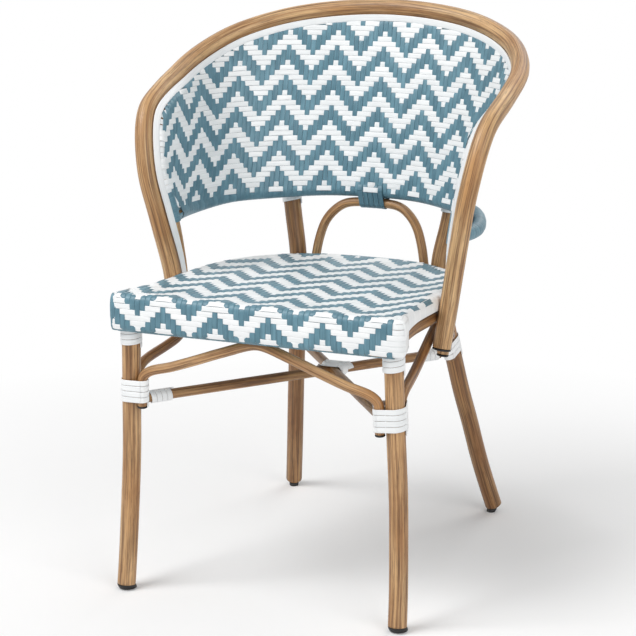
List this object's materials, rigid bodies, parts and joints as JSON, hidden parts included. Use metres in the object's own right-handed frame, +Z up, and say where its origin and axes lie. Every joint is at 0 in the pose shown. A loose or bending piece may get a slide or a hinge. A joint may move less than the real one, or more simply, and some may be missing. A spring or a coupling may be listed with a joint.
{
  "type": "rattan bistro armchair",
  "caption": "Bent-cane bistro armchair with a woven barrel back and seat in a two-tone zigzag weave, strand bindings and a crossed stretcher under the seat.",
  "frame": {"origin": "on the floor, midway between the left and right feet and between the front and back feet", "axes": "+X is right as seen from the front, +Y is towards the back, +Z is up"},
  "size_m": [0.5844, 0.5961, 0.86],
  "materials": {
    "cane": "varnished rattan cane",
    "white_strand": "satin flat strand",
    "blue_strand": "satin flat strand",
    "two_tone_weave": "blue and white satin strands in a zigzag twill",
    "black_cap": "matte black"
  },
  "bodies": {
    "root": {"outer_hoop": "cane", "inner_hoop": "cane", "lower_back_rail": "cane", "front_leg_left": "cane", "front_leg_right": "cane", "back_leg_left": "cane", "back_leg_right": "cane", "front_bow": "cane", "side_bow_left": "cane", "side_bow_right": "cane", "stretcher_front_left_to_back_right": "cane", "stretcher_front_right_to_back_left": "cane", "arch": "cane", "seat_ring": "cane", "seat_lower_ring": "cane", "seat_front_rail": "cane", "seat_front_lower_rail": "cane", "outer_hoop_plug_left": "black_cap", "outer_hoop_plug_right": "black_cap", "inner_hoop_plug_left": "black_cap", "inner_hoop_plug_right": "black_cap", "front_bow_plug_left": "black_cap", "front_bow_plug_right": "black_cap", "foot_cap_front_leg_left": "black_cap", "foot_cap_front_leg_right": "black_cap", "foot_cap_back_leg_left": "black_cap", "foot_cap_back_leg_right": "black_cap", "hoop_piping_front": "white_strand", "hoop_piping_rear": "white_strand", "front_leg_collar_left": "white_strand", "front_leg_collar_right": "white_strand", "back_leg_collar_left": "white_strand", "back_leg_collar_right": "white_strand", "front_leg_binding_left": "white_strand", "front_leg_binding_right": "white_strand", "back_leg_binding_left": "white_strand", "back_leg_binding_right": "white_strand", "stretcher_binding_front_left": "white_strand", "stretcher_binding_front_right": "white_strand", "stretcher_binding_back_left": "white_strand", "stretcher_binding_back_right": "white_strand", "stretcher_centre_binding": "white_strand", "arch_binding": "blue_strand", "woven_back": "two_tone_weave", "woven_seat": "two_tone_weave"}
  },
  "joints": []
}
